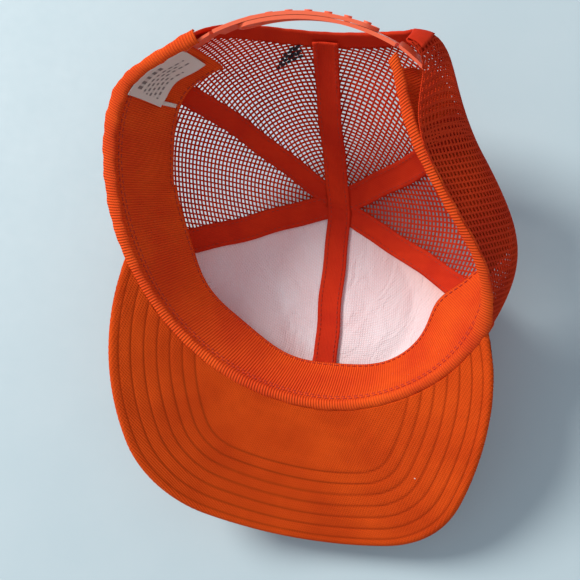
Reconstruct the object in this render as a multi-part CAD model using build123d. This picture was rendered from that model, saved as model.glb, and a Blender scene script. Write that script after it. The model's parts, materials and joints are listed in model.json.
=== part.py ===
"""Trucker mesh cap lying on its crown, opening up, visor towards -Y.

Every piece is drawn in the cap's own frame and then leaned and set down on the floor.
Cap frame: origin at the middle of the head opening, +Z out of the opening, crown below at -Z,
visor towards -Y, closure towards +Y.  Bearings are degrees clockwise from the back, seen from
above the opening.  Lengths are millimetres, angles degrees.  Insets are measured inwards from
the outer face of the front panels.
"""

import os
from functools import cache
from math import asin, atan2, cos, degrees, hypot, pi, radians, sin, sqrt, tan

from build123d import *

# Head opening and crown
rim_half_width = 86.0
rim_half_length = 92.0
crown_depth = 94.0
crown_bulge = 0.045  # the wall swells this share past the opening
front_wall_power = 2.9  # higher keeps the wall upright for longer below the rim
front_dome_power = 1.9  # lower makes the top more pointed
side_wall_power = 2.5
side_dome_power = 1.85
rear_wall_power = 2.3
rear_dome_power = 1.75
crown_lean = 26.0  # the opening leans this far towards the visor when the cap lies on its crown

# Cloth, outside to inside
front_cloth = 1.2
mesh_cloth = 0.8
lining_cloth = 0.6
tape_cloth = 0.8
sweatband_cloth = 1.2
layer_gap = 0.1

# Seams
front_seam_y = -34.0  # where the front side seams meet the opening, beside the visor's ends
rear_seam_bearing = 55.0
tape_width = 12.5
visor_seam_lift = 0.8  # the crown's edge stands this far above the visor

# Rear arch and its binding
arch_half_width = 46.0
arch_depth = 50.0
binding_width = 7.0
binding_cloth = 0.7

# Sweatband
sweatband_width = 34.0
sweatband_lean = 9.0  # the free edge stands this far in from the sewn edge
sweatband_end_bearing = 33.0
sweatband_clearance = 0.2

# Visor
visor_length = 66.0
visor_slope = 9.0
visor_bend_radius = 180.0
visor_front_radius = 140.0
visor_front_arc = 18.0
visor_corner_radius = 55.0
visor_corner_arc = 52.0
visor_side_radius = 130.0
visor_side_arc = 44.0
visor_board_thickness = 2.0
visor_cloth = 0.9
visor_rows = 6
visor_row_pitch = 5.5
visor_first_row = 8.5  # outermost row of stitches, in from the edge
thread_width = 0.5
thread_height = 0.25

# Snap closure
strap_bend_radius = 90.0  # outer face of the outer strap
strap_mouth = 40.0  # half the distance between the places where the straps bend
strap_width = 17.0
strap_thickness = 1.2
strap_rim_gap = 1.5  # edge of the opening to the strap's near edge
strap_layer_gap = 0.2
strap_tab_length = 11.0
strap_fold_gap = 0.25
strap_free_end = 5.5  # free length beyond the last snap
strap_tip_radius = 6.5
snap_count = 7
snap_pitch = 8.7
peg_radius = 1.35
peg_head_radius = 1.75
peg_head_height = 0.9
peg_proud = 0.35  # underside of the head stands this far off the outer strap
snap_clearance = 0.4
rib_width = 1.2
rib_height = 0.4

# Covered button
button_radius = 7.0
button_height = 4.4
button_cloth = 0.6
rivet_radius = 1.5
rivet_flange_radius = 4.5
rivet_flange = 0.5
rivet_grip = 2.0  # how far the rivet reaches into the button
rivet_clearance = 0.1

# Care label
label_width = 36.0
label_length = 21.0
label_cloth = 0.6
label_bearing = -52.0
label_drop = 2.0  # rim to the label's sewn edge

FAR = 600.0  # longer than anything in the cap
section_shares = (0.0, 0.14, 0.3, 0.46, 0.61, 0.74, 0.84, 0.915, 0.965, 0.99)

# Places that follow from the sizes above
mesh_outer = front_cloth - mesh_cloth
lining_outer = front_cloth + layer_gap
side_tape_outer = lining_outer + lining_cloth + layer_gap
centre_tape_outer = side_tape_outer + tape_cloth + layer_gap
sweatband_outer = centre_tape_outer + tape_cloth + sweatband_clearance
label_outer = sweatband_outer + sweatband_cloth + sweatband_clearance
tab_outer = front_cloth + layer_gap + binding_cloth + layer_gap
visor_thickness = visor_board_thickness + 2 * (visor_cloth + layer_gap)

corner_x = rim_half_width * sqrt(1 - (front_seam_y / rim_half_length) ** 2)
front_seam_bearing = degrees(atan2(corner_x, front_seam_y))
visor_rise = visor_bend_radius - sqrt(visor_bend_radius**2 - corner_x**2)
front_dip = visor_rise - (rim_half_length + front_seam_y) * tan(radians(visor_slope))


# ---------------------------------------------------------------- tools


def half_space(centre, size=FAR):
    return Pos(*centre) * Box(size, size, size)


def wedge(start, end):
    """Upright wedge of space between two bearings, less than half a turn apart."""
    middle = (start + end) / 2
    points = [(0, 0)]
    for bearing in (start, middle, end):
        points.append((FAR * sin(radians(bearing)), FAR * cos(radians(bearing))))
    return extrude(make_face(Polyline(*points, close=True).edges()), amount=FAR, both=True)


def mirrored(shape):
    return mirror(shape, about=Plane.YZ)


# ---------------------------------------------------------------- crown


def reach(size, share, wall_power, dome_power):
    """Distance from the crown's axis to its wall at a share of the depth."""
    swell = 1 + crown_bulge * sin(pi * min(1, 1.15 * share))
    return size * swell * (1 - share**wall_power) ** (1 / dome_power)


def crown_section(share, inset):
    """Level outline of the crown at a share of its depth."""
    half_width = reach(rim_half_width - inset, share, side_wall_power, side_dome_power)
    front = reach(rim_half_length - inset, share, front_wall_power, front_dome_power)
    rear = reach(rim_half_length - inset, share, rear_wall_power, rear_dome_power)
    outline = Wire.make_ellipse(half_width, (front + rear) / 2)
    return Pos(0, (rear - front) / 2, -share * (crown_depth - inset)) * outline


def top_height(inset):
    """Height of the small flat under the button, on the surface at this inset."""
    return -section_shares[-1] * (crown_depth - inset)


def button_lowest():
    """Height of the button's lowest point once the cap leans."""
    lean = radians(crown_lean)
    ball = (button_radius**2 + button_height**2) / (2 * button_height)
    if ball * sin(lean) < button_radius:
        return (top_height(0) - button_height + ball) * cos(lean) - ball
    return top_height(0) * cos(lean) - button_radius * sin(lean)


floor_level = button_lowest()


def above_floor(lift):
    """Space above a plane parallel to the floor, in the cap's frame."""
    return Rot(-crown_lean, 0, 0) * half_space((0, 0, floor_level + lift + FAR / 2))


@cache
def crown_core(inset):
    """All that lies inside the crown's surface at this inset, flattened where it meets the floor."""
    core = Solid.make_loft([crown_section(share, inset) for share in section_shares])
    return core & above_floor(inset)


def below_rim(lift):
    """Space below the edge of the crown, which dips at the front to meet the visor."""
    dip_radius = (corner_x**2 + front_dip**2) / (2 * front_dip)
    dip = Rot(90, 0, 0) * Cylinder(dip_radius, FAR)
    dip = Pos(0, -FAR / 2, dip_radius - front_dip + lift) * dip
    return half_space((0, 0, lift - FAR / 2)) - dip


def arch(growth):
    """Prism through the back of the crown that cuts the rear arch."""
    outline = Plane.XZ * Ellipse(arch_half_width + growth, arch_depth + growth)
    return Pos(0, FAR / 2, 0) * extrude(outline, amount=FAR / 2, both=True)


@cache
def crown_layer(outer, thickness):
    layer = crown_core(outer) - crown_core(outer + thickness)
    return layer & below_rim(visor_seam_lift) - arch(0)


def rivet_hole():
    return Pos(0, 0, top_height(0)) * Cylinder(rivet_radius + rivet_clearance, 20)


def right_panel(layer, start, end):
    return layer & wedge(start, end) - rivet_hole()


def side_tape(bearing, start, end):
    """Tape over the seam at a bearing, cut off where it runs under the centre tape."""
    band = Pos(0, FAR / 2, 0) * Box(tape_width, FAR, FAR)
    tape = crown_layer(side_tape_outer, tape_cloth) & Rot(0, 0, -bearing) * band
    flange = Pos(0, 0, top_height(0)) * Cylinder(rivet_flange_radius + layer_gap, 20)
    return tape & wedge(start, end) - flange


def centre_tape():
    return crown_layer(centre_tape_outer, tape_cloth) & Box(tape_width, FAR, FAR)


def arch_binding():
    """Tape folded over the cut edge of the arch, inside and outside the mesh."""
    outer = mesh_outer - layer_gap
    sleeve = crown_core(outer - binding_cloth) - crown_core(tab_outer - layer_gap)
    slot = crown_core(outer) - crown_core(front_cloth + layer_gap)
    fold = sleeve & arch(binding_width) - arch(-binding_cloth)
    return fold - (slot - arch(-layer_gap))


# ---------------------------------------------------------------- sweatband and label


@cache
def band_core(inset):
    """All that lies inside the leaning sweatband's surface at this inset."""
    sections = []
    for height in (10.0, -2 * sweatband_width):
        step = inset - sweatband_lean * height / sweatband_width
        outline = Wire.make_ellipse(rim_half_width - step, rim_half_length - step)
        sections.append(Pos(0, 0, height) * outline)
    return Solid.make_loft(sections)


def sweatband():
    band = band_core(sweatband_outer) - band_core(sweatband_outer + sweatband_cloth)
    edge = below_rim(visor_seam_lift)
    rear_gap = wedge(-sweatband_end_bearing, sweatband_end_bearing)
    return band & edge - Pos(0, 0, -sweatband_width) * edge - rear_gap


def care_label():
    sheet = band_core(label_outer) - band_core(label_outer + label_cloth)
    half_turn = degrees(label_width / 2 / rim_half_width)
    side = wedge(label_bearing - half_turn, label_bearing + half_turn)
    height = Pos(0, 0, -label_drop - label_length / 2) * Box(FAR, FAR, label_length)
    return sheet & side & height


# ---------------------------------------------------------------- visor


def visor_slab(upper, lower):
    """Bent slab between two heights above the visor's upper face."""
    ring = Cylinder(visor_bend_radius - lower, FAR) - Cylinder(visor_bend_radius - upper, FAR)
    slope = radians(visor_slope)
    seat = (
        0,
        -rim_half_length + visor_bend_radius * sin(slope),
        -front_dip + visor_bend_radius * cos(slope),
    )
    lower_half = half_space((0, 0, visor_bend_radius / 2 - FAR / 2))
    return Pos(*seat) * Rot(90 - visor_slope, 0, 0) * ring & lower_half


def visor_plan(inset):
    """Upright prism over the visor's outline, taken in from its free edge."""
    tip = (0, -rim_half_length - visor_length + inset)
    front = JernArc(tip, (1, 0), visor_front_radius - inset, visor_front_arc)
    corner = JernArc(front @ 1, front % 1, visor_corner_radius - inset, visor_corner_arc)
    side = JernArc(corner @ 1, corner % 1, visor_side_radius - inset, visor_side_arc)
    half = Curve() + [front, corner, side]
    ends = Line(side @ 1, (-(side @ 1).X, (side @ 1).Y))
    face = make_face((half + mirrored(half) + ends).edges())
    return extrude(face, amount=FAR / 2, both=True)


def visor_piece(upper, lower, inset):
    """Layer of the visor from its free edge up to the crown."""
    opening = extrude(Face(crown_section(0, -layer_gap)), amount=FAR / 2)
    behind = half_space((0, front_seam_y + FAR / 2, 0))
    layer = visor_slab(upper, lower) & visor_plan(inset)
    return layer - crown_core(-layer_gap) - opening - behind


def visor_board():
    upper = -visor_cloth - layer_gap
    return visor_piece(upper, upper - visor_board_thickness, visor_cloth + layer_gap)


def visor_underside_cloth():
    return visor_piece(0, -visor_cloth, visor_cloth + layer_gap)


def visor_topside_cloth():
    """Cloth on the face that is uppermost in wear, wrapped round the board's edge."""
    sheet = visor_piece(visor_cloth - visor_thickness, -visor_thickness, 0)
    edge = visor_piece(0, -visor_thickness, 0) - visor_plan(visor_cloth)
    return sheet + edge


def visor_stitching():
    rows = []
    for row in range(visor_rows):
        inset = visor_first_row + row * visor_row_pitch
        line = visor_piece(thread_height, 0, inset) - visor_plan(inset + thread_width)
        rows.append(line)
    return rows


# ---------------------------------------------------------------- snap closure

outer_mid = strap_bend_radius - strap_thickness / 2
inner_mid = outer_mid - strap_thickness - strap_layer_gap
strap_centre_x = (outer_mid**2 - inner_mid**2) / (4 * strap_mouth)
tab_middle = tab_outer + strap_thickness / 2
mouth_y = (rim_half_length - tab_middle) * sqrt(1 - (strap_mouth / (rim_half_width - tab_middle)) ** 2)
strap_centre_y = mouth_y - sqrt(outer_mid**2 - (strap_mouth + strap_centre_x) ** 2)
strap_height = -strap_rim_gap - strap_width / 2
left_mouth = -degrees(asin((strap_mouth + strap_centre_x) / outer_mid))
right_mouth = degrees(asin((strap_mouth - strap_centre_x) / inner_mid))
pitch_angle = degrees(snap_pitch / strap_bend_radius)
fold_angle = degrees(strap_fold_gap / strap_bend_radius)
end_angle = degrees(strap_free_end / strap_bend_radius)
middle_angle = (left_mouth + right_mouth) / 2
snap_angles = [middle_angle + pitch_angle * (i - (snap_count - 1) / 2) for i in range(snap_count)]
peg_reach = strap_thickness + peg_proud + peg_head_height
tab_setback = hypot(strap_fold_gap, strap_thickness / 2 + rib_height) + strap_fold_gap


def on_strap(radius, angle):
    """Frame on the closure's curve: local Z points away from the head, local X along the strap."""
    turn = radians(angle)
    place = (strap_centre_x + radius * sin(turn), strap_centre_y + radius * cos(turn), strap_height)
    return Plane(origin=place, x_dir=(cos(turn), -sin(turn), 0), z_dir=(sin(turn), cos(turn), 0))


def strap_sheet(outer_radius, thickness, start, end, trim):
    """Curved strip between two angles, narrower than the strap by trim on every side."""
    ring = Cylinder(outer_radius, strap_width - 2 * trim)
    ring -= Cylinder(outer_radius - thickness, strap_width)
    ring = Pos(strap_centre_x, strap_centre_y, strap_height) * ring
    turn = degrees(trim / outer_radius)
    sector = Pos(strap_centre_x, strap_centre_y, 0) * wedge(start + turn, end - turn)
    return ring & sector


def strap_strip(outer_radius, start, end, free_end, rib_outside):
    """Strip with a rounded free end and a raised rib round its edge."""
    strip = strap_sheet(outer_radius, strap_thickness, start, end, 0)
    strip = strip & strap_outline(start, end, free_end, 0)
    rib_radius = outer_radius + rib_height if rib_outside else outer_radius - strap_thickness
    rib = strap_sheet(rib_radius, rib_height, start, end, 0)
    rib = rib & strap_outline(start, end, free_end, 0)
    return strip + (rib - strap_outline(start, end, free_end, rib_width))


def strap_outline(start, end, free_end, trim):
    """Prism round the strap's outline, with the free end rounded."""
    turn = degrees(trim / strap_bend_radius)
    low = start + turn
    high = end - turn
    tip_turn = degrees(strap_tip_radius / strap_bend_radius)
    height = strap_width - 2 * trim
    block = Pos(strap_centre_x, strap_centre_y, strap_height) * Cylinder(FAR / 4, height)
    block = block & Pos(strap_centre_x, strap_centre_y, 0) * wedge(low, high)
    edge = high if free_end > 0 else low
    corner_angle = edge - free_end * tip_turn
    corner_height = height / 2 - strap_tip_radius
    for side in (-1, 1):
        frame = on_strap(strap_bend_radius, corner_angle)
        frame = frame.offset(-FAR / 8)
        place = frame * Pos(0, side * corner_height, 0)
        keep = place * Cylinder(strap_tip_radius, FAR / 2)
        zone = place * Pos(free_end * FAR / 2, side * FAR / 2, 0) * Box(FAR, FAR, FAR)
        block = block - (zone - keep)
    return block


def snap_hole(angle):
    """Opening wide enough for a peg to leave it as either strap swings on its sewn end."""
    outer_swing = radians(angle - left_mouth) / 2
    inner_swing = radians(right_mouth - angle) / 2
    away = peg_reach * tan(outer_swing)
    back = peg_reach * tan(inner_swing)
    slot = SlotCenterToCenter(away + back, 2 * (peg_head_radius + snap_clearance))
    frame = on_strap(strap_bend_radius, angle) * Pos((away - back) / 2, 0, 0)
    return extrude(frame * slot, amount=4 * strap_thickness, both=True)


def strap_with_holes():
    start = left_mouth + fold_angle
    end = snap_angles[-1] + end_angle
    strip = strap_strip(strap_bend_radius, start, end, 1, True)
    for angle in snap_angles:
        strip -= snap_hole(angle)
    return strip


def strap_with_pegs():
    start = snap_angles[0] - end_angle
    end = right_mouth - fold_angle
    face = strap_bend_radius - strap_thickness - strap_layer_gap
    strip = strap_strip(face, start, end, -1, False)
    head = strap_layer_gap + strap_thickness + peg_proud
    shank = head + strap_thickness / 2
    for angle in snap_angles:
        frame = on_strap(face, angle)
        strip += frame * Pos(0, 0, head - shank / 2) * Cylinder(peg_radius, shank)
        strip += frame * Pos(0, 0, head + peg_head_height / 2) * Cylinder(peg_head_radius, peg_head_height)
    return strip


def strap_tab(side):
    """Sewn end of a strap, between the mesh and the sweatband."""
    wall = crown_core(tab_outer) - crown_core(tab_outer + strap_thickness)
    belt = Pos(0, 0, strap_height) * Box(FAR, FAR, strap_width)
    start = side * (strap_mouth + tab_setback)
    strip = Pos(start + side * strap_tab_length / 2, FAR / 2, 0) * Box(strap_tab_length, FAR, FAR)
    return wall & belt & strip


# ---------------------------------------------------------------- button


def button_cap(radius, height):
    """Domed disc below the crown's top."""
    ball = (radius**2 + height**2) / (2 * height)
    top = top_height(0)
    sphere = Pos(0, 0, top - height + ball) * Sphere(ball)
    return sphere & half_space((0, 0, top - FAR / 2)) & Pos(0, 0, top) * Cylinder(radius, FAR)


def button_cover():
    return button_cap(button_radius, button_height) - button_cap(
        button_radius - button_cloth, button_height - button_cloth
    )


def button_core():
    core = button_cap(
        button_radius - button_cloth - layer_gap, button_height - button_cloth - layer_gap
    )
    return core - Pos(0, 0, top_height(0)) * Cylinder(
        rivet_radius + rivet_clearance, 2 * (rivet_grip + rivet_clearance)
    )


def button_rivet():
    low = top_height(0) - rivet_grip
    seat = top_height(side_tape_outer)
    shank = Pos(0, 0, (low + seat) / 2) * Cylinder(rivet_radius, seat - low)
    flange = Pos(0, 0, seat + rivet_flange / 2) * Cylinder(rivet_flange_radius, rivet_flange)
    return shank + flange


# ---------------------------------------------------------------- the whole cap


def cap_pieces():
    """Every piece of the cap by name, in the cap's own frame."""
    front = crown_layer(0.0, front_cloth)
    lining = crown_layer(lining_outer, lining_cloth)
    mesh = crown_layer(mesh_outer, mesh_cloth)
    mid_bearing = (front_seam_bearing + rear_seam_bearing) / 2
    right_side = {
        "front_panel": right_panel(front, front_seam_bearing, 180),
        "front_lining": right_panel(lining, front_seam_bearing, 180),
        "mesh_side": right_panel(mesh, rear_seam_bearing, front_seam_bearing),
        "mesh_rear": right_panel(mesh, 0, rear_seam_bearing),
        "seam_tape_front": side_tape(front_seam_bearing, mid_bearing, 180),
        "seam_tape_rear": side_tape(rear_seam_bearing, 0, mid_bearing),
    }
    pieces = {}
    for name, shape in right_side.items():
        pieces[name + "_right"] = shape
        pieces[name + "_left"] = mirrored(shape)
    pieces["seam_tape_centre"] = centre_tape()
    pieces["arch_binding"] = arch_binding() - half_space((0, 0, FAR / 2))
    pieces["sweatband"] = sweatband()
    pieces["care_label"] = care_label()
    pieces["visor_board"] = visor_board()
    pieces["visor_underside_cloth"] = visor_underside_cloth()
    pieces["visor_topside_cloth"] = visor_topside_cloth()
    pieces["visor_stitching"] = visor_stitching()
    pieces["closure_strap_holes"] = strap_with_holes()
    pieces["closure_strap_pegs"] = strap_with_pegs()
    pieces["closure_tab_holes"] = strap_tab(-1)
    pieces["closure_tab_pegs"] = strap_tab(1)
    pieces["button_cover"] = button_cover()
    pieces["button_core"] = button_core()
    pieces["button_rivet"] = button_rivet()
    return pieces


def on_the_floor(pieces):
    """Lean every piece and put the middle of the cap's footprint at the origin."""
    leaned = {}
    for name, shape in pieces.items():
        shapes = shape if isinstance(shape, list) else [shape]
        solids = [solid for part in shapes for solid in part.solids()]
        leaned[name] = Rot(crown_lean, 0, 0) * Compound(solids)
    box = Compound(list(leaned.values())).bounding_box()
    shift = Pos(-(box.min.X + box.max.X) / 2, -(box.min.Y + box.max.Y) / 2, -box.min.Z)
    placed = {name: shift * shape for name, shape in leaned.items()}
    return placed, shift


def main():
    placed, shift = on_the_floor(cap_pieces())
    os.makedirs("parts", exist_ok=True)
    for name, shape in placed.items():
        export_step(shape, f"parts/{name}.step")
    lean = Rot(crown_lean, 0, 0)
    for name, radius, angle in (
        ("closure_strap_holes", outer_mid, left_mouth),
        ("closure_strap_pegs", inner_mid, right_mouth),
    ):
        frame = shift * lean * Location(on_strap(radius, angle).origin)
        print(name, "hinge", tuple(round(v, 3) for v in frame.position))
    print("hinge axis", 0, round(-sin(radians(crown_lean)), 5), round(cos(radians(crown_lean)), 5))


if __name__ == "__main__":
    main()
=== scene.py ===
import json
from math import atan2, degrees, pi, radians, sin, sqrt, tan

import bmesh
import bpy
import numpy as np
from mathutils import Matrix, Vector


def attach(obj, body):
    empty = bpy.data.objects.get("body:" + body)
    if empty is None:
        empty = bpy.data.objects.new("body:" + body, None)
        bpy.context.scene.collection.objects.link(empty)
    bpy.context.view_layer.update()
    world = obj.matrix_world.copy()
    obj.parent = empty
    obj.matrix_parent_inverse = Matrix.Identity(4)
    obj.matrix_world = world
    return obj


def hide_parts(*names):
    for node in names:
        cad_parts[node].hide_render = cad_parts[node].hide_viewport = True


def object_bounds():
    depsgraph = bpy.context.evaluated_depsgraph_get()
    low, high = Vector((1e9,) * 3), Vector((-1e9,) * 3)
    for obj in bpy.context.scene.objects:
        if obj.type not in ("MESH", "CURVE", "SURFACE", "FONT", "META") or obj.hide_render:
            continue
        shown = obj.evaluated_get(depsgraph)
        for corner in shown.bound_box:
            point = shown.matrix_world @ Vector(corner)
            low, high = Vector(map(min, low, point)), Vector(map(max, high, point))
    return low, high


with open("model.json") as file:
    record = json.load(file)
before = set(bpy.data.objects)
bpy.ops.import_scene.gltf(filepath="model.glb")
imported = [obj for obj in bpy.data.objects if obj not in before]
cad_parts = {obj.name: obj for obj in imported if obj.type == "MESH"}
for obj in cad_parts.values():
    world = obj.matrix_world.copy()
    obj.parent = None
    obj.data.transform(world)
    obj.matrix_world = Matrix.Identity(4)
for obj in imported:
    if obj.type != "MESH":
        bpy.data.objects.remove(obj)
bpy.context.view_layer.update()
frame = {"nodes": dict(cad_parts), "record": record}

# ---------------------------------------------------------------- sizes in millimetres, cap frame

MM = 0.001
HALF_WIDTH, HALF_LENGTH, DEPTH, BULGE = 86.0, 92.0, 94.0, 0.045
FRONT_POWERS, SIDE_POWERS, REAR_POWERS = (2.9, 1.9), (2.5, 1.85), (2.3, 1.75)
LEAN = 26.0
FRONT_SEAM_Y, REAR_SEAM, RIM_LIFT = -34.0, 55.0, 0.8
ARCH_HALF_WIDTH, ARCH_DEPTH, BINDING_WIDTH = 46.0, 50.0, 7.0
TAPE_WIDTH = 12.5
BAND_WIDTH, BAND_LEAN, BAND_END = 34.0, 9.0, 33.0
VISOR_LENGTH, VISOR_SLOPE, VISOR_BEND = 66.0, 9.0, 180.0
VISOR_ARCS = ((140.0, 18.0), (55.0, 52.0), (130.0, 44.0))
VISOR_THICK, ROWS, FIRST_ROW, ROW_PITCH = 4.0, 6, 8.5, 5.5
HOLE_ACROSS, HOLE_ALONG, THREAD_HALF = 2.6, 2.0, 0.42
MESH_INSET, FRONT_INSET, LINING_INSET = 0.9, 1.2, 1.9
TAPE_INSET, CENTRE_INSET = 2.8, 3.7
TOP_GAP = 5.0  # cloth starts this far from the top, under the button
BAND_RADIUS = 89.0  # mean radius of the opening, for flat places along the band

CORNER_X = HALF_WIDTH * sqrt(1 - (FRONT_SEAM_Y / HALF_LENGTH) ** 2)
FRONT_SEAM = degrees(atan2(CORNER_X, FRONT_SEAM_Y))
FRONT_DIP = (
    VISOR_BEND
    - sqrt(VISOR_BEND**2 - CORNER_X**2)
    - (HALF_LENGTH + FRONT_SEAM_Y) * tan(radians(VISOR_SLOPE))
)
DIP_RADIUS = (CORNER_X**2 + FRONT_DIP**2) / (2 * FRONT_DIP)

mount = next(m for m in frame["record"]["mounts"] if m["name"] == "head_opening")
UP = np.array(mount["axis"], float)
ACROSS = np.array([1.0, 0.0, 0.0])
BACK = np.cross(UP, ACROSS)
TURN = np.stack([ACROSS, BACK, UP], axis=1)
PLACE = np.array(mount["pos_m"], float)
REST_HEIGHT = PLACE[2] / MM


def to_row(p):
    return PLACE + MM * (np.asarray(p, float) @ TURN.T)


def to_cap(p):
    return (np.asarray(p, float) - PLACE) @ TURN / MM


def smooth(x):
    x = np.clip(x, 0, 1)
    return x * x * (3 - 2 * x)


# ---------------------------------------------------------------- how the soft cap has slumped

SHEAR, TWIST, TWIST_SPAN = -0.096, 0.101, 90
CROWN_SHIFT = (7.2, -7.1)
STIFF_FROM, STIFF_OVER = 40, 38  # the lean fades from here back, so the closure stays put
WAVE_DEPTH = 0.6
FLOOR_GAP = 0.05
SLUMPS = (  # place, how far it spreads, move
    ((80, -40, 0), 36, (8.0, 1.0, 0.0)),
    ((-76, 48, -12), 34, (-6.0, 0.0, 0.0)),
    ((80, 30, 4), 25, (-14.0, -2.0, 0.0)),
    ((88, 14, -44), 28, (12.0, 4.0, 0.0)),
    ((60, 62, -40), 24, (6.0, 3.0, 0.0)),
    ((62, 66, 4), 18, (-9.0, -5.0, 0.0)),
    ((80, -8, -30), 20, (3.0, 0.0, 0.0)),
)


def settle(p, inset=0.0):
    """Moves points of the cap to where the worn cap's soft shape has them."""
    p = np.array(p, float)
    x, y, z = p[:, 0].copy(), p[:, 1].copy(), p[:, 2].copy()
    loose = 1 - smooth((y - STIFF_FROM) / STIFF_OVER)
    share = np.clip(-z / DEPTH, 0, 1)
    slide = loose * share
    p[:, 0] += loose * SHEAR * y + slide * CROWN_SHIFT[0]
    p[:, 1] += loose * SHEAR * x + slide * CROWN_SHIFT[1]
    p[:, 2] += loose * TWIST * x * y / TWIST_SPAN - slide * CROWN_SHIFT[1] * tan(radians(LEAN))
    for centre, spread, move in SLUMPS:
        away = ((np.stack([x, y, z], 1) - centre) ** 2).sum(1)
        p += np.exp(-away / (2 * spread**2))[:, None] * np.array(move, float)
    around = np.arctan2(x, y)
    waves = 0.7 * np.sin(5 * around + 1.1 + z / 31) + 0.4 * np.sin(11 * around - z / 17)
    soft = slide * (1 - slide) * 4 * WAVE_DEPTH
    p[:, 0] += soft * waves * np.sin(around)
    p[:, 1] += soft * waves * np.cos(around)
    height = -p[:, 1] * UP[1] + p[:, 2] * UP[2] + REST_HEIGHT
    sunk = np.maximum(inset + FLOOR_GAP - height, 0)
    p[:, 2] += sunk / UP[2]
    return p


# ---------------------------------------------------------------- the crown's surface


def reach(size, share, powers):
    swell = 1 + BULGE * np.sin(pi * np.minimum(1, 1.15 * share))
    return size * swell * (1 - np.clip(share, 0, 1) ** powers[0]) ** (1 / powers[1])


def level(share, inset):
    """Half-width, half-length and middle of the crown's level outline."""
    wide = reach(HALF_WIDTH - inset, share, SIDE_POWERS)
    front = reach(HALF_LENGTH - inset, share, FRONT_POWERS)
    rear = reach(HALF_LENGTH - inset, share, REAR_POWERS)
    return wide, (front + rear) / 2, (rear - front) / 2


SHARES = 1 - np.linspace(0, 1, 160) ** 2
SHARES[0] = 0.9999
STEEP_SHARE = 0.78  # from the rim to this share of the depth, strips keep level; past it, not
FLARE_AT, FLARE_SPREAD, FLARE_MOVE = (56.0, 74.0, -9.0), 12.0, (6.0, 11.0, 2.0)
FLARE_SQUASH = (1.0, 1.0, 0.7)


def meridian(bearing, inset):
    """Distance from the top, distance from the axis and height along the crown at each bearing."""
    b = np.radians(np.asarray(bearing, float))[:, None]
    wide, long, middle = (v[None] for v in level(SHARES, inset))
    s, c = np.sin(b), np.cos(b)
    k = s**2 / wide**2 + c**2 / long**2
    m = c * middle / long**2
    out = (m + np.sqrt(np.maximum(m * m - k * (middle**2 / long**2 - 1), 0))) / k
    high = np.broadcast_to(-SHARES[None] * (DEPTH - inset), out.shape)
    out = out + np.where(out < 0, -out, 0)
    step = np.hypot(np.diff(out, axis=1), np.diff(high, axis=1))
    run = np.concatenate([out[:, :1], out[:, :1] + np.cumsum(step, 1)], 1)
    return run, out, high


def look_up(table, values, at):
    """Row by row, the value where the table reaches at."""
    i = np.clip((table < at[:, None]).sum(1), 1, table.shape[1] - 1)
    r = np.arange(len(at))
    t0, t1 = table[r, i - 1], table[r, i]
    w = np.clip((at - t0) / np.maximum(t1 - t0, 1e-9), 0, 1)
    return values[r, i - 1] * (1 - w) + values[r, i] * w


def rim_height(x, y):
    dip = -FRONT_DIP + DIP_RADIUS - np.sqrt(np.maximum(DIP_RADIUS**2 - x * x, 0))
    return np.where(y < 0, np.minimum(0, dip), 0) + RIM_LIFT


def flare(p):
    """The mesh beside the closure stands off where the straps pull the opening in."""
    p = np.array(p, float)
    away = ((p - np.array(FLARE_AT)) ** 2 * np.array(FLARE_SQUASH)).sum(1)
    p += np.exp(-away / (2 * FLARE_SPREAD**2))[:, None] * np.array(FLARE_MOVE)
    return p


def rim_run(bearing, inset):
    """Distance along the crown from the top to the rim."""
    run, out, high = meridian(bearing, inset)
    b = np.radians(bearing)
    x, y = out[:, -1] * np.sin(b), out[:, -1] * np.cos(b)
    edge = np.minimum(rim_height(x, y), 0)
    return look_up(high, run, edge) + np.maximum(rim_height(x, y), 0)


def crown_points(bearing, along, inset):
    """Points on the crown at bearings and distances from the top."""
    bearing, along = np.asarray(bearing, float), np.asarray(along, float)
    run, out, high = meridian(bearing, inset)
    past = np.maximum(along - run[:, -1], 0)
    rho, z = look_up(run, out, along), look_up(run, high, along) + past
    b = np.radians(bearing)
    return np.stack([rho * np.sin(b), rho * np.cos(b), z], 1)


def strip_points(bearing, along, across, inset):
    """Points on the crown at distances along one meridian and sideways from it."""
    n = len(along)
    turn = np.where(along < 0, 180.0, 0.0)
    base = crown_points(np.full(n, bearing) + turn, np.abs(along), inset)
    b = radians(bearing)
    flat = base[:, :2].copy()
    flat[:, 0] += across * np.cos(b)
    flat[:, 1] -= across * np.sin(b)
    to = np.degrees(np.arctan2(flat[:, 0], flat[:, 1]))
    far = np.hypot(flat[:, 0], flat[:, 1])
    run, out, high = meridian(to, inset)
    steep = base[:, 2] > -STEEP_SHARE * DEPTH
    level_out = look_up(high, out, np.minimum(base[:, 2], 0))
    level_out = np.where(base[:, 2] > 0, out[:, -1], level_out)
    dropped = look_up(out, high, far)
    rad = np.where(steep, level_out, far)
    z = np.where(steep, base[:, 2], dropped)
    t = np.radians(to)
    return np.stack([rad * np.sin(t), rad * np.cos(t), z], 1)


# ---------------------------------------------------------------- making pieces


def finish_piece(name, bm, material, nodes):
    mesh = bpy.data.meshes.new(name)
    bm.to_mesh(mesh)
    bm.free()
    piece = bpy.data.objects.new(name, mesh)
    bpy.context.scene.collection.objects.link(piece)
    mesh.shade_smooth()
    mesh.materials.append(material)
    if nodes:
        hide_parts(*nodes)
    return piece


def place(bm, points, uv, inset):
    """Puts a grid's vertices on the cap and keeps their flat places as UV in millimetres."""
    points = to_row(settle(points, inset))
    bm.verts.ensure_lookup_table()
    for v, p in zip(bm.verts, points):
        v.co = p
    layer = bm.loops.layers.uv.verify()
    for face in bm.faces:
        for loop in face.loops:
            loop[layer].uv = uv[loop.vert.index]


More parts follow.
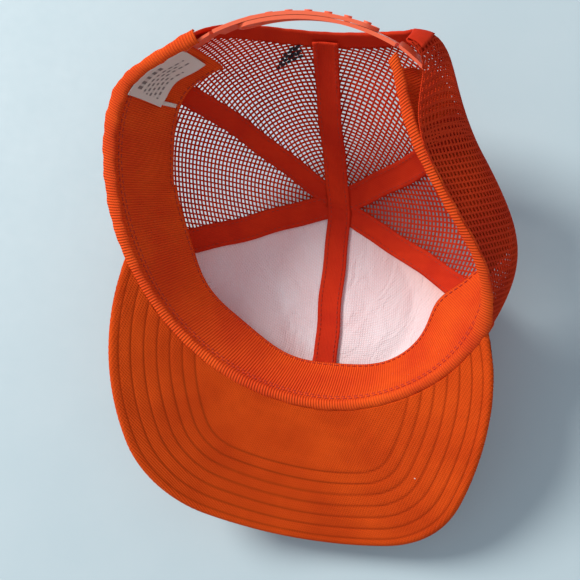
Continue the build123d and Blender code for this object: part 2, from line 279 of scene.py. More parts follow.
def thicken(piece, thickness, outward=1.0):
    """Gives a sheet its thickness, on the side away from the head or on both sides."""
    mod = piece.modifiers.new("cloth", "SOLIDIFY")
    mod.thickness = thickness * MM
    mod.offset = -outward
    mod.use_rim = True


def face_towards(bm, point):
    """Turns a sheet of faces to look at a point."""
    bm.normal_update()
    total = 0.0
    for f in bm.faces:
        total += f.normal.dot(Vector(point) - f.calc_center_median()) * f.calc_area()
    if total < 0:
        bmesh.ops.reverse_faces(bm, faces=bm.faces)


INSIDE = to_row([0, 0, -30])  # a point within the cap, which cloth faces look at


def sheet_piece(name, cells, mapping, thickness, inset, material, nodes, shade=None):
    """Grid laid on the cap: mapping turns two arrays, each from 0 to 1, into points and flat
    places. shade gives how dark the cloth is painted at each: painted shade in a seam's
    groove on the visor, print on the label, orange showing through on the lining."""
    bm = bmesh.new()
    bmesh.ops.create_grid(bm, x_segments=cells[0], y_segments=cells[1], size=0.5)
    u = np.array([v.co.x for v in bm.verts]) + 0.5
    v = np.array([v.co.y for v in bm.verts]) + 0.5
    points, flat = mapping(u, v)
    place(bm, points, flat, inset)
    face_towards(bm, INSIDE)
    piece = finish_piece(name, bm, material, nodes)
    if shade:
        dark = piece.data.attributes.new("painted_shade_and_marks", "FLOAT", "POINT")
        dark.data.foreach_set("value", np.asarray(shade(u, v, flat), np.float32))
    thicken(piece, thickness)
    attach(piece, "cap_body")
    return piece


# ---------------------------------------------------------------- materials


def node(tree, kind, inputs=None, **settings):
    n = tree.nodes.new(kind)
    for key, value in settings.items():
        setattr(n, key, value)
    for key, value in (inputs or {}).items():
        if isinstance(value, bpy.types.NodeSocket):
            tree.links.new(value, n.inputs[key])
        else:
            n.inputs[key].default_value = value
    return n


def calc(tree, operation, a, b=0.0):
    return node(tree, "ShaderNodeMath", {0: a, 1: b}, operation=operation).outputs[0]


def cloth_group():
    """Threads of a woven or ribbed cloth: a height, and a tone that is patchy and has painted
    shade between the threads, from flat places in mm.
    """
    g = bpy.data.node_groups.new("Woven threads", "ShaderNodeTree")
    face = g.interface
    face.new_socket("Flat place", in_out="INPUT", socket_type="NodeSocketVector")
    for socket, value in (
        ("Thread across", 1.0),
        ("Thread along", 1.0),
        ("Ribs", 0.0),
        ("Bars", 0.0),
        ("Weave", 1.0),
        ("Slant", 0.0),
        ("Fuzz", 0.3),
    ):
        s = face.new_socket(socket, in_out="INPUT", socket_type="NodeSocketFloat")
        s.default_value = value
    face.new_socket("Height", in_out="OUTPUT", socket_type="NodeSocketFloat")
    face.new_socket("Tone", in_out="OUTPUT", socket_type="NodeSocketFloat")
    i = g.nodes.new("NodeGroupInput").outputs
    o = g.nodes.new("NodeGroupOutput")
    warp = node(g, "ShaderNodeTexNoise", {"Vector": i["Flat place"], "Scale": 0.12, "Detail": 2.0})
    parts = node(g, "ShaderNodeSeparateXYZ", {0: i["Flat place"]})
    x, y = parts.outputs[0], parts.outputs[1]
    x = calc(g, "ADD", x, calc(g, "MULTIPLY", y, i["Slant"]))
    wobble = calc(g, "MULTIPLY", warp.outputs[0], 1.4)

    def waves(where, pitch):
        turns = calc(g, "DIVIDE", calc(g, "MULTIPLY", where, 2 * pi), pitch)
        return calc(g, "SINE", calc(g, "ADD", turns, wobble))

    a = waves(x, i["Thread across"])
    b = waves(y, i["Thread along"])
    total = calc(g, "ADD", calc(g, "MULTIPLY", a, i["Ribs"]), calc(g, "MULTIPLY", b, i["Bars"]))
    total = calc(g, "ADD", total, calc(g, "MULTIPLY", calc(g, "MULTIPLY", a, b), i["Weave"]))
    fuzz = node(g, "ShaderNodeTexNoise", {"Vector": i["Flat place"], "Scale": 2.3, "Detail": 3.0})
    fuzzed = calc(g, "MULTIPLY", calc(g, "SUBTRACT", fuzz.outputs[0], 0.5), i["Fuzz"])
    g.links.new(calc(g, "ADD", total, calc(g, "MULTIPLY", fuzzed, 2.0)), o.inputs["Height"])
    slow = node(g, "ShaderNodeTexNoise", {"Vector": i["Flat place"], "Scale": 0.035, "Detail": 5.0})
    # Tone: random patches, with thread crests painted lighter and the hollows between threads painted
    # darker (painted shade of the weave).
    tone = calc(g, "ADD", calc(g, "MULTIPLY", total, 0.16), calc(g, "MULTIPLY", slow.outputs[0], 0.9))
    g.links.new(calc(g, "ADD", tone, fuzzed), o.inputs["Tone"])
    return g


THREADS = cloth_group()


def cloth(name, light, dark, across, along, ribs=0.0, bars=0.0, weave=1.0, slant=0.0, fuzz=0.3,
          depth=0.12, rough=0.88, sheen=0.04, through=0.0, crease=0.6, seam_colour=None):
    """Cloth material: light and dark colours, mixed in random patches and by painted shade
    between the threads, the pitch of its threads in mm, how the threads are woven, and how
    much light comes through."""
    m = bpy.data.materials.new(name)
    m.use_nodes = True
    t = m.node_tree
    t.nodes.clear()
    uv = node(t, "ShaderNodeUVMap")
    threads = node(t, "ShaderNodeGroup", node_tree=THREADS)
    t.links.new(uv.outputs[0], threads.inputs["Flat place"])
    for socket, value in (
        ("Thread across", across),
        ("Thread along", along),
        ("Ribs", ribs),
        ("Bars", bars),
        ("Weave", weave),
        ("Slant", slant),
        ("Fuzz", fuzz),
    ):
        threads.inputs[socket].default_value = value
    ramp = node(t, "ShaderNodeMapRange", {0: threads.outputs["Tone"], 1: 0.15, 2: 0.75})
    tint = node(t, "ShaderNodeMixRGB", {0: ramp.outputs[0], 1: (*dark, 1), 2: (*light, 1)})
    # Darkened where the piece's attribute says: painted shade in the visor's grooves, print on the
    # label, orange showing through on the lining. deep is the colour it is mixed to; without
    # seam_colour it is the painted shade colour.
    seam = node(t, "ShaderNodeAttribute", attribute_name="painted_shade_and_marks")
    deep = (*(seam_colour or [c * 0.42 for c in dark]), 1)
    tint = node(t, "ShaderNodeMixRGB", {0: seam.outputs["Fac"], 1: tint.outputs[0], 2: deep})
    soft = node(
        t,
        "ShaderNodeTexNoise",
        {"Vector": uv.outputs[0], "Scale": 0.055, "Detail": 3.0, "Distortion": 1.2},
    )
    folds = node(
        t,
        "ShaderNodeBump",
        {"Height": soft.outputs[0], "Distance": crease * MM, "Strength": 1.0},
    )
    bump = node(
        t,
        "ShaderNodeBump",
        {
            "Height": threads.outputs["Height"],
            "Distance": depth * MM,
            "Strength": 0.8,
            "Normal": folds.outputs[0],
        },
    )
    shade = node(
        t,
        "ShaderNodeBsdfPrincipled",
        {
            "Base Color": tint.outputs[0],
            "Roughness": rough,
            "Normal": bump.outputs[0],
            "Specular IOR Level": 0.05,
            "Sheen Weight": sheen,
            "Sheen Roughness": 0.45,
            "Sheen Tint": (*light, 1),
        },
    )
    out = node(t, "ShaderNodeOutputMaterial")
    if through:
        lit = {0: tint.outputs[0], "Normal": bump.outputs[0]}
        glow = node(t, "ShaderNodeBsdfTranslucent", lit)
        both = {0: through, 1: shade.outputs[0], 2: glow.outputs[0]}
        mix = node(t, "ShaderNodeMixShader", both)
        t.links.new(mix.outputs[0], out.inputs[0])
    else:
        t.links.new(shade.outputs[0], out.inputs[0])
    return m


def plain(name, colour, rough, bumps, metal=0.0, spread=0.0, coat=0.0, dark=None):
    """Smooth material in two tones, with small bumps in mm."""
    m = bpy.data.materials.new(name)
    m.use_nodes = True
    t = m.node_tree
    t.nodes.clear()
    where = node(t, "ShaderNodeTexCoord")
    speck = node(
        t, "ShaderNodeTexNoise", {"Vector": where.outputs["Object"], "Scale": 160.0, "Detail": 4.0}
    )
    patch = node(
        t, "ShaderNodeTexNoise", {"Vector": where.outputs["Object"], "Scale": 22.0, "Detail": 3.0}
    )
    tint = node(
        t,
        "ShaderNodeMixRGB",
        {0: patch.outputs[0], 1: (*colour, 1), 2: (*(dark or [c * 0.8 for c in colour]), 1)},
    )
    gloss = node(t, "ShaderNodeMapRange", {0: speck.outputs[0], 3: rough - 0.08, 4: rough + 0.1})
    bump = node(
        t,
        "ShaderNodeBump",
        {"Height": speck.outputs[0], "Distance": bumps * MM, "Strength": 0.5},
    )
    shade = node(
        t,
        "ShaderNodeBsdfPrincipled",
        {
            "Base Color": tint.outputs[0],
            "Roughness": gloss.outputs[0],
            "Metallic": metal,
            "Normal": bump.outputs[0],
            "Coat Weight": coat,
            "Subsurface Weight": spread,
            "Subsurface Scale": 0.002,
        },
    )
    out = node(t, "ShaderNodeOutputMaterial")
    t.links.new(shade.outputs[0], out.inputs[0])
    return m


ORANGE = (0.88, 0.090, 0.010)
DEEP = (0.60, 0.042, 0.008)
front_mat = cloth("front_cloth", ORANGE, DEEP, 0.55, 0.55, fuzz=0.35)
visor_mat = cloth("visor_cloth", (0.84, 0.095, 0.009), (0.54, 0.042, 0.005), 1.25, 1.0,
                  ribs=0.8, weave=0.4, slant=0.9, depth=0.3, crease=0.5)
lining_mat = cloth("buckram", (0.98, 0.92, 0.94), (0.93, 0.72, 0.73), 1.5, 1.4,
                   weave=0.4, ribs=0.45, bars=0.45, fuzz=0.5, sheen=0.05, through=0.15,
                   crease=1.6, seam_colour=(0.90, 0.30, 0.16))
mesh_mat = cloth("mesh", (0.90, 0.075, 0.014), (0.52, 0.022, 0.012), 0.65, 0.5,
                 ribs=0.5, bars=0.2, fuzz=0.2, sheen=0.1, through=0.25, depth=0.08)
tape_mat = cloth("seam_tape", (0.85, 0.058, 0.014), (0.54, 0.022, 0.012), 0.8, 0.5,
                 ribs=0.3, weave=0.6, through=0.12)
band_mat = cloth("sweatband", (0.96, 0.120, 0.014), (0.66, 0.042, 0.012), 1.3, 0.6,
                 ribs=0.9, weave=0.25, fuzz=0.3, depth=0.3)
label_mat = cloth("label", (0.93, 0.89, 0.79), (0.80, 0.73, 0.62), 0.35, 0.35, fuzz=0.25, sheen=0.1,
                  crease=1.2, seam_colour=(0.10, 0.07, 0.06))
thread_mat = plain("thread", (0.20, 0.012, 0.006), rough=0.7, bumps=0.1)
seam_thread = plain("seam_thread", (0.50, 0.030, 0.010), rough=0.7, bumps=0.1)
dark_thread = plain("dark_thread", (0.02, 0.02, 0.03), rough=0.7, bumps=0.1)
plastic = plain("strap_plastic", (0.93, 0.15, 0.055), rough=0.42, bumps=0.02, spread=0.05, coat=0.1,
                dark=(0.84, 0.12, 0.045))
metal = plain("button_metal", (0.72, 0.72, 0.74), rough=0.35, metal=1.0, bumps=0.02)
board_mat = plain("visor_board", (0.75, 0.74, 0.70), rough=0.6, bumps=0.05)

# ---------------------------------------------------------------- crown cloth


GORE_MARGIN = 4  # degrees of cloth past each seam
RIM_RADIUS = 96
MESH_PAST_SEAM, MESH_PAST_RIM, NET_PAST_RIM = 2.5, 0.8, 0.4  # cells kept, then net pulled to


def gore(middle, half, inset):
    """Lays a rectangle of cloth on the crown between two seams, its threads running to the top."""
    rim = rim_run(np.array([middle]), inset)[0]

    def lay(across, along):
        along = rim - along
        near = crown_points(np.full(len(along), middle), along, inset)
        radius = np.maximum(np.hypot(near[:, 0], near[:, 1]), 4.0)
        turn = np.degrees(across / radius)
        widest = half + GORE_MARGIN
        return np.clip(turn, -widest, widest) + middle, along, turn

    return rim, lay


def mesh_panel(name, middle, half, nodes, arch):
    """Net of threads between two seams, with the closure's arch cut out of the rear ones."""
    inset, rim_extra = MESH_INSET, 3.0
    rim, lay = gore(middle, half, inset)
    rim_width = 2 * radians(half + GORE_MARGIN) * RIM_RADIUS
    nu, nv = int(rim_width / HOLE_ACROSS), int((rim + rim_extra) / HOLE_ALONG)
    bm = bmesh.new()
    bmesh.ops.create_grid(bm, x_segments=nu, y_segments=nv, size=0.5)
    for v in bm.verts:
        v.co.x *= nu * HOLE_ACROSS
        v.co.y = (v.co.y + 0.5) * nv * HOLE_ALONG - rim_extra
    c = np.array([f.calc_center_median()[:] for f in bm.faces])
    b, along, turn = lay(c[:, 0], c[:, 1])
    top = rim_run(b, inset)
    pts = crown_points(b, along, inset)
    radius = np.maximum(np.hypot(pts[:, 0], pts[:, 1]), 6)
    keep = np.abs(turn) < half + np.degrees(MESH_PAST_SEAM / radius)
    keep &= (along > TOP_GAP) & (along < top + MESH_PAST_RIM)
    if arch:
        wide, deep = ARCH_HALF_WIDTH + 1, ARCH_DEPTH + 1
        keep &= ~((pts[:, 0] / wide) ** 2 + (pts[:, 2] / deep) ** 2 < 1)
    bmesh.ops.delete(bm, geom=[f for f, k in zip(bm.faces, keep) if not k], context="FACES")
    bmesh.ops.inset_individual(bm, faces=bm.faces[:], thickness=THREAD_HALF, use_even_offset=True)
    cells = [f for f in bm.faces if f.calc_area() > 0.3 * HOLE_ACROSS * HOLE_ALONG]
    bmesh.ops.delete(bm, geom=cells, context="FACES_ONLY")
    flat = np.array([v.co[:2] for v in bm.verts])
    b, along, _ = lay(flat[:, 0], flat[:, 1])
    along = np.minimum(along, rim_run(b, inset) + NET_PAST_RIM)
    points = flare(crown_points(b, along, inset))
    place(bm, points, flat, inset)
    face_towards(bm, INSIDE)
    piece = finish_piece(name, bm, mesh_mat, nodes)
    thicken(piece, 0.45, 0.0)
    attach(piece, "cap_body")


side_middle, side_half = (FRONT_SEAM + REAR_SEAM) / 2, (FRONT_SEAM - REAR_SEAM) / 2
mesh_panel("mesh_side_right_net", side_middle, side_half, ["mesh_side_right"], False)
mesh_panel("mesh_side_left_net", -side_middle, side_half, ["mesh_side_left"], False)
mesh_panel("mesh_rear_right_net", REAR_SEAM / 2, REAR_SEAM / 2, ["mesh_rear_right"], True)
mesh_panel("mesh_rear_left_net", -REAR_SEAM / 2, REAR_SEAM / 2, ["mesh_rear_left"], True)


def front_layer(inset, edge=0.0):
    """Mapping of the front cloth from seam to seam, edge mm longer or shorter than the rim."""

    def lay(u, v):
        bearing = FRONT_SEAM + (360 - 2 * FRONT_SEAM) * u
        rim = rim_run(bearing, inset) + edge
        along = TOP_GAP + (rim - TOP_GAP) * v
        pts = crown_points(bearing, along, inset)
        across = (u - 0.5) * 220 * np.clip(along / 90, 0, 1)
        return pts, np.stack([across, along], 1)

    return lay


def lining_shade(u, v, flat):
    """Orange showing through: by the right seam, by the left seam and in patches by the rim."""
    right, left = 0.75 * np.exp(-u / 0.07), 0.35 * np.exp(-(1 - u) / 0.05)
    return right + left + 0.22 * smooth((v - 0.45) / 0.4) * (0.5 + 0.5 * np.sin(9 * u + 4 * v))


front = sheet_piece("front_panels", (110, 70), front_layer(FRONT_INSET), 1.15, FRONT_INSET,
                    front_mat, ["front_panel_left", "front_panel_right"])
lining = sheet_piece("front_lining", (110, 70), front_layer(LINING_INSET, -1.0), 0.5,
                     LINING_INSET, lining_mat, ["front_lining_left", "front_lining_right"],
                     lining_shade)

# ---------------------------------------------------------------- tapes


TAPE_ROW, STITCH_FROM_EDGE = 1.6, 1.9


def tape_waver(along, bearing):
    """How far a tape strays sideways along its seam."""
    return 0.5 * np.sin(along / 13 + bearing) + 0.25 * np.sin(along / 5.1 + bearing)


def tape(name, bearing, start, end, inset, nodes):
    """Seam tape with folded edges and a soft middle; gives the lines it is sewn along."""
    half = TAPE_WIDTH / 2

    def lay(u, v):
        across = (u - 0.5) * TAPE_WIDTH
        along = start + (end - start) * v
        aside = across + tape_waver(along, bearing)
        base = strip_points(bearing, along, aside, inset)
        inner = strip_points(bearing, along, aside, inset + 1.0)
        edge = 0.35 * np.exp(-((np.abs(across) - half + 1.6) / 0.8) ** 2)
        lift = edge + 0.12 * np.sin(along / 1.9 + across)
        return base + (inner - base) * lift[:, None], np.stack([across, along], 1)

    cells = (14, int((end - start) / TAPE_ROW))
    piece = sheet_piece(name, cells, lay, 0.7, inset, tape_mat, nodes)
    lines = []
    for side in (-1, 1):
        along = np.arange(start + 1, end - 1, 0.8)
        at = np.full(len(along), side * (half - STITCH_FROM_EDGE)) + tape_waver(along, bearing)
        lines.append(settle(strip_points(bearing, along, at, inset + 0.30), inset + 0.3))
    return lines


def line_run(line):
    """Distance along a line of points at each point."""
    step = np.linalg.norm(np.diff(line, axis=0), axis=1)
    return np.concatenate([[0], np.cumsum(step)])


def stitches(name, lines, pitch, length, radius, material):
    """A row of short round stitches along each line, all in one piece."""
    bm = bmesh.new()
    for line in lines:
        run = line_run(line)
        for at in np.arange(pitch / 2, run[-1], pitch):
            a = np.array([np.interp(at - length / 2, run, line[:, k]) for k in range(3)])
            b = np.array([np.interp(at + length / 2, run, line[:, k]) for k in range(3)])
            a, b = Vector(to_row(a)), Vector(to_row(b))
            if (b - a).length < 0.3 * length * MM:
                continue
            turn = (b - a).to_track_quat("Z", "Y").to_matrix().to_4x4()
            size = Matrix.Diagonal((radius * MM, radius * MM, (b - a).length / 2, 1))
            put = Matrix.Translation((a + b) / 2) @ turn @ size
            bmesh.ops.create_uvsphere(bm, u_segments=6, v_segments=4, radius=1, matrix=put)
    piece = finish_piece(name, bm, material, ())
    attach(piece, "cap_body")
    return piece


TAPE_SHORT = 0.5  # tapes end this far from the rim and the arch
tape_lines = []
for seam, bearing in (("front", FRONT_SEAM), ("rear", REAR_SEAM)):
    for side, sign in (("right", 1), ("left", -1)):
        end = rim_run(np.array([sign * bearing]), TAPE_INSET)[0] - TAPE_SHORT
        tape_lines += tape(f"tape_{seam}_{side}", sign * bearing, TOP_GAP, end, TAPE_INSET,
                           [f"seam_tape_{seam}_{side}"])
front_end = rim_run(np.array([180.0]), CENTRE_INSET)[0] - TAPE_SHORT
run, _, high = meridian(np.array([0.0]), CENTRE_INSET)
back_end = look_up(high, run, np.array([-ARCH_DEPTH - TAPE_SHORT]))[0]
tape_lines += tape("tape_centre", 180.0, -back_end, front_end, CENTRE_INSET,
                   ["seam_tape_centre"])
stitches("tape_stitches", tape_lines, 2.6, 1.9, 0.24, seam_thread)

TACK_ROWS = 5  # a small knot of dark thread on the left rear mesh
tack = []
for k in range(TACK_ROWS):
    along = np.linspace(88 - 1.6 * k, 86 - 2.2 * k, 12)
    bearing = np.linspace(-9 - 1.2 * (k % 2), -15 - 1.5 * k, 12)
    tack.append(settle(crown_points(bearing, along, 1.6), 1.6))
stitches("bar_tack", tack, 3.4, 3.2, 0.75, dark_thread)

# ---------------------------------------------------------------- arch binding


BINDING_FOLD, BINDING_OUT, BINDING_IN = 2.6, 0.2, 1.9


def binding(u, v):
    """Tape folded over the arch's edge, from the outer leg round to the inner one."""
    turn = pi * u
    leg = BINDING_WIDTH
    run = v * (2 * leg + BINDING_FOLD)
    outer = run < leg
    inner = run > leg + BINDING_FOLD
    fold = np.clip((run - leg) / BINDING_FOLD, 0, 1)
    within = np.where(inner, run - leg - BINDING_FOLD, -1.0 * np.sin(pi * fold))
    back = np.where(outer, leg - run, within)
    between = BINDING_OUT + 1.7 * (1 - np.cos(pi * fold)) / 2
    inset = np.where(outer, BINDING_OUT, np.where(inner, BINDING_IN, between))
    ruck = 0.5 * np.sin(turn * 23) + 0.3 * np.sin(turn * 51 + 1)
    x = (ARCH_HALF_WIDTH + back + 0.2 * ruck) * np.cos(turn)
    z = np.minimum(-(ARCH_DEPTH + back + 0.2 * ruck) * np.sin(turn), RIM_LIFT)
    wide, long, middle = level(np.clip(-z / DEPTH, 0, 1), inset)
    y = middle + long * np.sqrt(np.maximum(1 - (x / wide) ** 2, 0))
    mean_reach = 52
    return flare(np.stack([x, y, z], 1)), np.stack([turn * mean_reach, run], 1)


bind = sheet_piece("binding_arch", (150, 16), binding, 0.6, BINDING_OUT, tape_mat,
                   ["arch_binding"])

# ---------------------------------------------------------------- sweatband


def band_lean(bearing):
    """How far the free edge stands in: more on the left, where it has come away from the crown."""
    left = np.exp(-(((bearing - 262) / 42) ** 2))
    right = smooth((104 - bearing) / 16) * smooth((bearing - 28) / 14)
    corner = np.exp(-(((bearing - 118) / 14) ** 2))
    ripple = 0.8 * np.sin(np.radians(bearing) * 9)
    return BAND_LEAN + 5.0 * left + 8.0 * corner - 10.5 * right + ripple


def rim_oval(b, step):
    """Points at angles round the opening's outline, taken in by a step."""
    wide, long = HALF_WIDTH - step, HALF_LENGTH - step
    rho = 1 / np.sqrt((np.sin(b) / wide) ** 2 + (np.cos(b) / long) ** 2)
    return rho * np.sin(b), rho * np.cos(b)


def band_points(bearing, drop, inset):
    """Points on the sweatband at bearings and distances below the rim."""
    lean = band_lean(bearing)
    share = drop / BAND_WIDTH
    x, y = rim_oval(np.radians(bearing), inset + lean * share**1.25)
    tall = np.sqrt(np.maximum(1 - (lean / BAND_WIDTH) ** 2 * 0.6, 0.2))
    return np.stack([x, y, rim_height(x, y) - drop * tall], 1)


def band(u, v):
    """Sweatband with a groove along its sewn edge and its free edge turned under."""
    bearing = BAND_END + (360 - 2 * BAND_END) * u
    drop = BAND_WIDTH * v
    inset = 5.1 - 0.5 * np.exp(-(((drop - 3.4) / 0.7) ** 2)) + 0.7 * smooth((drop - 31.8) / 1.5)
    return band_points(bearing, drop, inset), np.stack([np.radians(bearing) * BAND_RADIUS, drop], 1)


band_piece = sheet_piece("head_band", (330, 34), band, 1.0, 4.0, band_mat, ["sweatband"])


def rim_roll(u, v):
    """Rounded fold where the crown's cut edge is turned in and sewn."""
    bearing = BAND_END - 3 + (360 - 2 * BAND_END + 6) * u
    turn = pi * (1.35 * v - 0.2)
    b = np.radians(bearing)
    swell = 1.0 + 0.08 * np.sin(b * 40) + 0.05 * np.sin(b * 93)
    thin = smooth((112 - bearing) / 14)
    front = smooth((bearing - 112) / 14) * smooth((262 - bearing) / 20)
    swell = swell * (1 - 0.34 * thin - 0.30 * front)
    x, y = rim_oval(b, 2.3 + 0.7 * thin + 0.5 * front - 2.9 * np.cos(turn) * swell)
    z = rim_height(x, y) + 1.3 * np.sin(turn) - 0.6
    return np.stack([x, y, z], 1), np.stack([b * BAND_RADIUS, v * 9], 1)


roll = sheet_piece("rim_fold", (330, 12), rim_roll, 0.5, 0.0, band_mat, ())

bearings = np.arange(BAND_END + 1, 360 - BAND_END - 1, 0.5)
band_lines = [
    settle(band_points(bearings, np.full(len(bearings), drop), inset))
    for drop, inset in ((3.4, 4.95), (5.0, 5.15), (32.4, 5.75))
]
stitches("band_stitches", band_lines, 3.0, 2.2, 0.28, seam_thread)

# ---------------------------------------------------------------- visor


def outline(inset, step=1.0):
    """Right half of the visor's outline from the tip, taken in from the free edge."""
    x, y, heading = 0.0, -HALF_LENGTH - VISOR_LENGTH + inset, 0.0
    points = [(x, y)]
    for radius, arc in VISOR_ARCS:
        r = radius - inset
        n = max(2, int(r * radians(arc) / step))
        for k in range(1, n + 1):
            t = heading + radians(arc) * k / n
            ahead, aside = sin(t) - sin(heading), np.cos(t) - np.cos(heading)
            points.append((x + r * ahead, y - r * aside))
        heading += radians(arc)
        x, y = points[-1]
    return np.array(points)


def visor_edge(inset):
    """The whole outline from the left seam to the right seam."""
    half = outline(inset)
    keep = (half[:, 1] < FRONT_SEAM_Y + 0.5) & (
        (half[:, 0] / (HALF_WIDTH + 0.1)) ** 2 + (half[:, 1] / (HALF_LENGTH + 0.1)) ** 2 > 1
    )
    half = half[keep]
    left = half[::-1] * [-1, 1]
    return np.concatenate([left[:-1], half])


def visor_height(x, y):
    bend = VISOR_BEND - np.sqrt(VISOR_BEND**2 - x * x)
    slope = radians(VISOR_SLOPE)
    return -FRONT_DIP + (-HALF_LENGTH - y) * tan(slope) + bend / np.cos(slope)


EDGE = visor_edge(0.0)


def along_line(line, u):
    """Points at shares of the way along a line."""
    run = line_run(line)
    return np.stack([np.interp(u * run[-1], run, line[:, k]) for k in range(line.shape[1])], 1)


def edge_distance(x, y):
    """Distance of flat places from the visor's edge, worked out in batches."""
    found = np.empty(len(x))
    dense = along_line(EDGE, np.linspace(0, 1, 900))
    batch = 4000
    for i in range(0, len(x), batch):
        dx = x[i : i + batch, None] - dense[None, :, 0]
        dy = y[i : i + batch, None] - dense[None, :, 1]
        found[i : i + batch] = np.sqrt((dx**2 + dy**2).min(1))
    return found


EDGE_SEAM = 3.6  # a groove this far from the edge, where the two faces are joined
OTHER_FACE = 200  # flat places on the second face are this much further on


def row_groove(e, width):
    """A groove for each stitched row, at distances from the edge."""
    return [np.exp(-(((e - FIRST_ROW - row * ROW_PITCH) / width) ** 2)) for row in range(ROWS)]


def visor_cloth(u, v):
    """Cloth from the crown over the underside, round the edge and back on the other face."""
    out = along_line(EDGE, u)
    a = np.radians(360 - FRONT_SEAM + (2 * FRONT_SEAM - 360) * u)
    rim = np.stack(rim_oval(a, 0.6), 1)
    t = (np.abs(v - 0.5) * 2) ** 1.25
    under = v < 0.5
    gap = np.linalg.norm(rim - out, axis=1)
    inward = (rim - out) / np.maximum(gap, 1e-6)[:, None]
    flat = out + inward * (t * gap)[:, None]
    x, y = flat[:, 0], flat[:, 1]
    e = edge_distance(x, y)
    r = VISOR_THICK / 2
    drop = r - np.sqrt(np.maximum(r * r - np.maximum(r - e, 0) ** 2, 0))
    dent = np.zeros(len(u))
    for groove in row_groove(e, 0.6):
        dent += 0.24 * groove
    dent += 0.22 * np.exp(-(((e - EDGE_SEAM) / 0.5) ** 2))
    dent += 0.10 * np.sin(e * 0.9 + x / 9) * np.sin(y / 7)
    z = visor_height(x, y)
    z += np.where(under, -drop - dent, -VISOR_THICK + drop + dent)
    return np.stack([x, y, z], 1), np.stack([x, y + np.where(under, 0, OTHER_FACE)], 1)


# Painted shade: the visor cloth is darkened in the groove by the edge seam and in the groove of each
# stitched row.
def visor_painted_groove_shade(u, v, flat):
    e = edge_distance(flat[:, 0], flat[:, 1] - np.where(v < 0.5, 0, OTHER_FACE))
    shade = 0.55 * np.exp(-(((e - EDGE_SEAM) / 0.5) ** 2))
    for groove in row_groove(e, 0.42):
        shade += 0.7 * groove
    return np.clip(shade, 0, 1)


cover = sheet_piece("visor_cover", (260, 190), visor_cloth, 0.8, 0.0, visor_mat,
                    ["visor_underside_cloth", "visor_topside_cloth"], visor_painted_groove_shade)

visor_lines = []
for row in range(ROWS):
    line = along_line(visor_edge(FIRST_ROW + row * ROW_PITCH), np.linspace(0, 1, 500))
    high = visor_height(line[:, 0], line[:, 1]) - 0.12
    visor_lines.append(settle(np.column_stack([line, high])))
stitched = stitches("visor_rows", visor_lines, 3.3, 2.3, 0.36, thread_mat)
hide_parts("visor_stitching")

# ---------------------------------------------------------------- pieces that follow the CAD shape


def moved_copy(name, source, material):
    """Copy of a CAD piece that has slumped with the cloth round it."""
    data = frame["nodes"][source].data.copy()
    world = np.array(frame["nodes"][source].matrix_world, float)
    co = np.array([v.co[:] for v in data.vertices]) @ world[:3, :3].T + world[:3, 3]
    co = to_row(settle(to_cap(co)))
    for v, p in zip(data.vertices, co):
        v.co = p
    data.materials.clear()
    data.materials.append(material)
    piece = bpy.data.objects.new(name, data)
    bpy.context.scene.collection.objects.link(piece)
    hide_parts(source)
    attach(piece, "cap_body")
    return piece


moved_copy("visor_core", "visor_board", board_mat)
moved_copy("button_face", "button_cover", front_mat)
moved_copy("button_body", "button_core", metal)
moved_copy("button_pin", "button_rivet", metal)
for part in ("strap_holes", "strap_pegs", "tab_holes", "tab_pegs"):
    closure = frame["nodes"][f"closure_{part}"]
    closure.data.materials.clear()
    closure.data.materials.append(plastic)

# ---------------------------------------------------------------- care label

LABEL_WIDTH, LABEL_LENGTH, LABEL_BEARING = 36.0, 21.0, 313.0


def label_cloth(u, v):
    half = degrees(LABEL_WIDTH / 2 / HALF_WIDTH)
    bearing = LABEL_BEARING + half * (2 * u - 1)
    drop = 0.5 + LABEL_LENGTH * v
    curl = 1.5 * v**2 + 0.5 * np.sin(3 * pi * u) * v
    flat = np.stack([u * LABEL_WIDTH, v * LABEL_LENGTH], 1)
    return band_points(bearing, drop, 5.9 + curl), flat


def label_bars(u, v, flat):
    """Plain bars in place of printing: one thick and five thin."""
    bars = np.zeros(len(u))
    for at, wide, start, end in (
        (0.24, 0.07, 0.14, 0.62),
        (0.42, 0.028, 0.10, 0.88),
        (0.52, 0.028, 0.10, 0.80),
        (0.62, 0.028, 0.10, 0.90),
        (0.72, 0.028, 0.10, 0.55),
        (0.82, 0.028, 0.10, 0.72),
    ):
        broken = 0.6 + 0.4 * np.sign(np.sin(u * 61 + at * 40))
        bars += (np.abs(v - at) < wide) * (u > start) * (u < end) * broken * 0.8
    return np.clip(bars, 0, 1)


tag = sheet_piece("woven_label", (90, 60), label_cloth, 0.35, 5.0, label_mat, ["care_label"],
                  label_bars)


def label_tail(u, v):
    """Narrow frayed strip left hanging beside the label."""
    bearing = LABEL_BEARING - 11.5 + 1.6 * u + 1.4 * v
    drop = 20.5 + 9.0 * v
    return band_points(bearing, drop, 6.4 + 1.2 * v), np.stack([u * 2.2, v * 9], 1)


sheet_piece("label_tail", (6, 14), label_tail, 0.35, 5.0, label_mat, ())

# ---------------------------------------------------------------- lint on the visor

SPECK_RADIUS, SPECK_X, SPECK_Y = 0.9, 57.0, -112.0
bm = bmesh.new()
bmesh.ops.create_icosphere(bm, subdivisions=2, radius=SPECK_RADIUS * MM)
speck_at = np.array([[SPECK_X, SPECK_Y, visor_height(SPECK_X, SPECK_Y) - 0.1]])
speck_centre = Vector(to_row(settle(speck_at))[0])
for v in bm.verts:
    v.co = speck_centre + v.co * (1 + 0.3 * sin(v.co.x * 9000))
speck = finish_piece("lint_speck", bm, label_mat, ())
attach(speck, "cap_body")

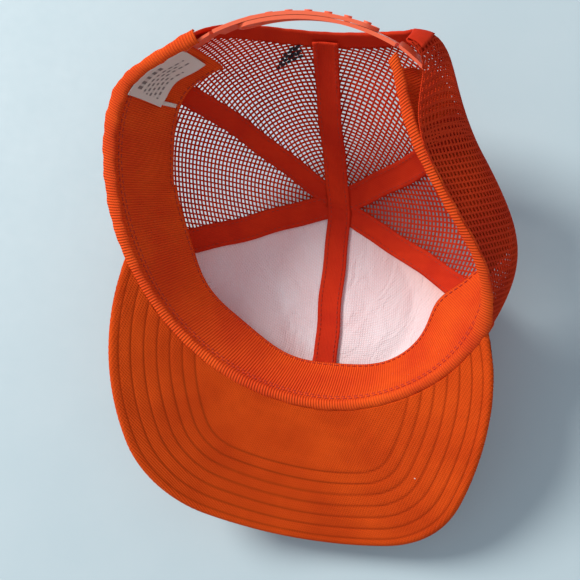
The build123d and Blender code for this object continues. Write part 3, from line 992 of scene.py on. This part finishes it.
# ---------------------------------------------------------------- floor, light and camera

FLOOR_HALF, FLOOR_BELOW = 6.0, 0.0002
bm = bmesh.new()
bmesh.ops.create_grid(bm, x_segments=2, y_segments=2, size=FLOOR_HALF)
data = bpy.data.meshes.new("floor")
bm.to_mesh(data)
bm.free()
floor = bpy.data.objects.new("floor", data)
bpy.context.scene.collection.objects.link(floor)
floor.location = (0, 0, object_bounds()[0][2] - FLOOR_BELOW)
floor_mat = plain("floor", (0.475, 0.565, 0.590), rough=0.65, bumps=0.05, dark=(0.43, 0.53, 0.56))
data.materials.append(floor_mat)


AIM = Vector((0, 0, 0.05))


def area_light(name, at, size, power, colour):
    """Round lamp aimed at the cap."""
    light = bpy.data.lights.new(name, "AREA")
    light.shape = "DISK"
    light.size = size
    light.energy = power
    light.color = colour
    o = bpy.data.objects.new(name, light)
    bpy.context.scene.collection.objects.link(o)
    o.location = at
    o.rotation_euler = (AIM - Vector(at)).to_track_quat("-Z", "Y").to_euler()


area_light("window", (-1.45, 0.7, 1.7), 0.9, 56, (1.0, 0.985, 0.965))
area_light("room", (0.9, -0.9, 2.0), 2.4, 5, (0.93, 0.96, 1.0))
world = bpy.data.worlds.new("world")
bpy.context.scene.world = world
world.use_nodes = True
sky = world.node_tree.nodes["Background"]
sky.inputs[0].default_value = (0.80, 0.88, 1.0, 1)
sky.inputs[1].default_value = 0.5

CAMERA_PLACE = (83.2, 75.0, 364.9)  # mm, cap frame
CAMERA_TURN = Vector((-0.2707, 0.2252, 0.0985))  # axis times angle in radians, cap frame
eye = bpy.data.cameras.new("camera")
eye.sensor_width = 36
eye.lens = 52.76
camera = bpy.data.objects.new("camera", eye)
bpy.context.scene.collection.objects.link(camera)
turn = Matrix.Rotation(CAMERA_TURN.length, 4, CAMERA_TURN.normalized())
turn = Matrix([list(r) for r in TURN]).to_4x4() @ turn
camera.matrix_world = Matrix.Translation(to_row(CAMERA_PLACE)) @ turn
bpy.context.scene.camera = camera
bpy.context.scene.view_settings.view_transform = "Standard"
